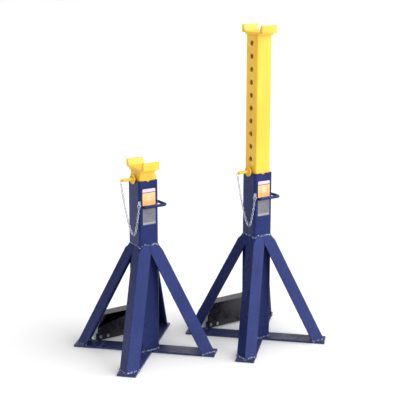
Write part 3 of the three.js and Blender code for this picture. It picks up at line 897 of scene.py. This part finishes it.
def oval_link(shape, middle, ahead, flat):
    """One welded link, its long way along ahead and its plane holding flat."""
    count, sides = 18, 8
    half_long = LINK_PITCH / 2 + LINK_WIRE
    straight = half_long - LINK_HALF_WIDTH
    points = []
    for i in range(count):
        angle = 2 * math.pi * i / count
        x = LINK_HALF_WIDTH * math.cos(angle) + math.copysign(straight, math.cos(angle))
        points.append(middle + ahead * x + flat * LINK_HALF_WIDTH * math.sin(angle))
    sweep(shape, points, [LINK_WIRE] * count, sides, closed=True)


def chain_route(centre, end):
    """The arm's line: steep above and curling in below, as the chain hangs from its two ends."""
    points = []
    for i in range(CHAIN_STEPS):
        share = i / (CHAIN_STEPS - 1)
        point = CHAIN_BOTTOM.lerp(end, share)
        swing = share ** CHAIN_CURL
        point.x = CHAIN_BOTTOM.x + (end.x - CHAIN_BOTTOM.x) * swing
        point.y = CHAIN_BOTTOM.y + (end.y - CHAIN_BOTTOM.y) * swing
        points.append(point + Vector((centre.x, centre.y, 0)))
    return points


def make_chain(stand, centre):
    frame_body, column, pin = stand + "_frame", stand + "_column", stand + "_pin"
    arms = (("anchor", CHAIN_ANCHOR, (frame_body, column)), ("pin", CHAIN_TIP, (pin, column)))
    for which, end, bodies in arms:
        route = chain_route(centre, end)
        if which == "pin":
            route = route[1:]
        spots = resample(route, LINK_PITCH)
        shape = bmesh.new()
        for i, (a, b) in enumerate(zip(spots, spots[1:])):
            ahead = (b - a).normalized()
            around = ahead.cross(Vector((0.6, -0.8, 0))).normalized()
            turn = Matrix.Rotation(math.radians(90 * (i % 2) + random.uniform(-14, 14)), 3, ahead)
            oval_link(shape, (a + b) / 2, ahead, turn @ around)
        node = f"{stand}_chain_{which}_arm"
        chain = new_piece(node + "_links", from_bmesh(node + "_links", shape), "zinc")
        chain.data.shade_smooth()
        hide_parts(node)
        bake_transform(chain, *bodies, start=spots[-1], end=spots[0])


def torus(shape, middle, axis, radius, wire, count=28, sides=12):
    turn = Vector((0, 0, 1)).rotation_difference(Vector(axis))
    points = [middle + turn @ Vector((radius * math.cos(2 * math.pi * i / count),
                                      radius * math.sin(2 * math.pi * i / count), 0)) for i in range(count)]
    sweep(shape, points, [wire] * count, sides, closed=True)


def make_chain_fittings(stand, centre):
    for which, body in (("anchor", stand + "_frame"), ("pin", stand + "_pin")):
        node = f"{stand}_{which}_ring"
        low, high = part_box(node)
        wire = RING_WIRE[which]
        axis = (1, 1, 0) if which == "anchor" else (1, 0, 0)
        shape = bmesh.new()
        torus(shape, (low + high) / 2, axis, (high.z - low.z) / 2 - wire, wire)
        ring = new_piece(node + "_wire", from_bmesh(node + "_wire", shape), "zinc")
        ring.data.shade_smooth()
        finish_piece(ring, body, "zinc", node)
    node = stand + "_chain_anchor"
    low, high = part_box(node)
    out = Vector((-1, -1, 0)).normalized()
    along = Vector((out.y, -out.x, 0))
    level = (low.z + high.z) / 2
    staple = Vector((centre.x, centre.y, level)) + out * (CHAIN_ANCHOR.xy.length)
    shape = bmesh.new()
    torus(shape, staple, along, STAPLE_RADIUS, STAPLE_WIRE)
    inner = staple - out * 0.0060
    pad = []
    for depth, spread in ((0.0, 1.0), (0.0016, 1.0), (0.0021, 0.86)):
        ring = []
        for i in range(24):
            angle = 2 * math.pi * i / 24
            side_way = math.copysign(abs(math.cos(angle)) ** 0.6, math.cos(angle)) * 0.005 * spread
            up = math.copysign(abs(math.sin(angle)) ** 0.6, math.sin(angle)) * (high.z - low.z) / 2 * spread
            ring.append(shape.verts.new(inner + out * depth + along * side_way + Vector((0, 0, up))))
        pad.append(ring)
    for a, b in zip(pad, pad[1:]):
        for i in range(24):
            shape.faces.new((a[i], a[(i + 1) % 24], b[(i + 1) % 24], b[i]))
    shape.faces.new(pad[0])
    shape.faces.new(pad[-1])
    anchor = new_piece(node + "_fine", from_bmesh(node + "_fine", shape), "zinc")
    round_edges(anchor, 0.0002, 40)
    finish_piece(anchor, stand + "_frame", "zinc", node)


def make_wheels(stand):
    for where in ("left", "right"):
        node = f"{stand}_wheel_{where}"
        low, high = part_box(node)
        middle = (low + high) / 2
        radius, half = (high.z - low.z) / 2, (high.x - low.x) / 2
        rim, hub, web = radius - 0.008, 0.015, half - 0.003
        bore = AXLE_RADIUS + BORE_GAP
        profile = [(-half, bore), (-half, hub - 0.001), (-half + 0.001, hub), (-web, hub + 0.001),
                   (-web, rim - 0.001), (-half + 0.0005, rim), (-half, rim + 0.001)]
        for i in range(9):
            angle = math.radians(-90 + 180 * i / 8)
            along = max(min((half - 0.0025) * math.sin(angle) * 1.25, half), -half)
            profile.append((along, radius - 0.0035 + 0.0035 * math.cos(angle) ** 0.7 if abs(angle) < 1.57
                            else radius - 0.0035))
        profile += [(half, rim + 0.001), (half - 0.0005, rim), (web, rim - 0.001), (web, hub + 0.001),
                    (half - 0.001, hub), (half, hub - 0.001), (half, bore), (-half, bore)]
        name = node + "_fine"
        mesh = turned_part(name, profile, middle, (1, 0, 0), 72)
        wheel = new_piece(name, mesh, "plastic")
        round_edges(wheel, 0.0003, 40)
        finish_piece(wheel, node, "wheel_plastic", node)
        shape = bmesh.new()
        spokes = 8
        for k in range(spokes):
            angle = 2 * math.pi * k / spokes
            for way in (-1, 1):
                rib = bmesh.ops.create_cube(shape, size=1.0)["verts"]
                length = rim - hub
                for v in rib:
                    local = Vector((way * (web + 0.0009) + v.co.x * 0.0018, v.co.y * 0.0022,
                                    (hub + rim) / 2 + v.co.z * length))
                    v.co = middle + Matrix.Rotation(angle, 3, "X") @ local
        ribs = new_piece(node + "_ribs", from_bmesh(node + "_ribs", shape), "plastic")
        round_edges(ribs, 0.0004, 40)
        finish_piece(ribs, node, "wheel_plastic")


def make_axle(stand):
    node = stand + "_wheel_axle"
    low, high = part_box(node)
    middle = (low + high) / 2
    half, head = (high.x - low.x) / 2, (high.z - low.z) / 2
    radius, thick = AXLE_RADIUS, 0.0035
    dome = [(half - 0.0012, head), (half - 0.0004, head - 0.0012), (half, head - 0.003), (half, 0)]
    profile = [(-along, r) for along, r in dome[::-1]]
    profile += [(-half + thick, head), (-half + thick, radius), (half - thick, radius), (half - thick, head)]
    profile += dome
    name = node + "_fine"
    axle = new_piece(name, turned_part(name, profile, middle, (1, 0, 0)), "zinc")
    round_edges(axle, 0.0003, 40)
    finish_piece(axle, stand + "_frame", "zinc", node)


def make_bolts(stand):
    """Hexagon bolts: a chamfered head over a round washer face, and a threaded end."""
    for which in ("lug_bolt", "plate_bolt"):
        for where in ("left", "right"):
            node = f"{stand}_{which}_{where}"
            low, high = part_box(node)
            middle = (low + high) / 2
            corner = (high.x - low.x) / 2
            face, head = low.y, 0.005
            shape = bmesh.new()
            rings = []
            for y, size in ((face, corner * 0.84), (face + 0.0011, corner), (face + head - 0.0007, corner)):
                corners = [math.pi * i / 3 for i in range(6)]
                rings.append([shape.verts.new((middle.x + size * math.sin(t), y, middle.z + size * math.cos(t)))
                              for t in corners])
            for a, b in zip(rings, rings[1:]):
                for i in range(6):
                    j = (i + 1) % 6
                    shape.faces.new((a[i], a[j], b[j], b[i]))
            shape.faces.new(rings[0])
            shape.faces.new(rings[-1])
            spots = [Vector((middle.x, face + head - 0.0008 + t, middle.z)) for t in (0, 0.0006)]
            sweep(shape, spots, [corner * 0.96] * 2, 24)
            pitch, start = 0.0012, face + head
            turns = int((high.y - start) / pitch)
            spots, radii = [], []
            for i in range(turns * 2 + 1):
                spots.append(Vector((middle.x, start + i * pitch / 2, middle.z)))
                radii.append(0.0037 if i % 2 else 0.0033)
            sweep(shape, spots, radii, 16)
            bolt = new_piece(node + "_fine", from_bmesh(node + "_fine", shape), "zinc")
            round_edges(bolt, 0.0002, 35)
            finish_piece(bolt, stand + "_frame", "zinc", node)


def make_housing(stand):
    node = stand + "_wheel_housing"
    finish_piece(cad_piece(node, "black", "black_edge", 0.0007, 32), stand + "_frame", "black_paint", node)


# ---- the scene ----------------------------------------------------------------------------------------

random.seed(RANDOM_SEED)
make_camera()
make_studio()
make_floor()
FINISHES = make_finishes()
for stand_name in STANDS:
    box_low, box_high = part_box(stand_name + "_guide_tube")
    axis_point = (box_low + box_high) / 2
    make_base_and_legs(stand_name)
    make_tube(stand_name, axis_point)
    make_column(stand_name, axis_point)
    make_saddle(stand_name, axis_point)
    make_pin(stand_name, axis_point)
    make_handle(stand_name, axis_point)
    make_label(stand_name, "upper", "orange", "orange_label")
    make_label(stand_name, "lower", "grey", "grey_label")
    make_chain(stand_name, axis_point)
    make_chain_fittings(stand_name, axis_point)
    make_wheels(stand_name)
    make_axle(stand_name)
    make_bolts(stand_name)
    make_housing(stand_name)
    make_welds(stand_name, axis_point)
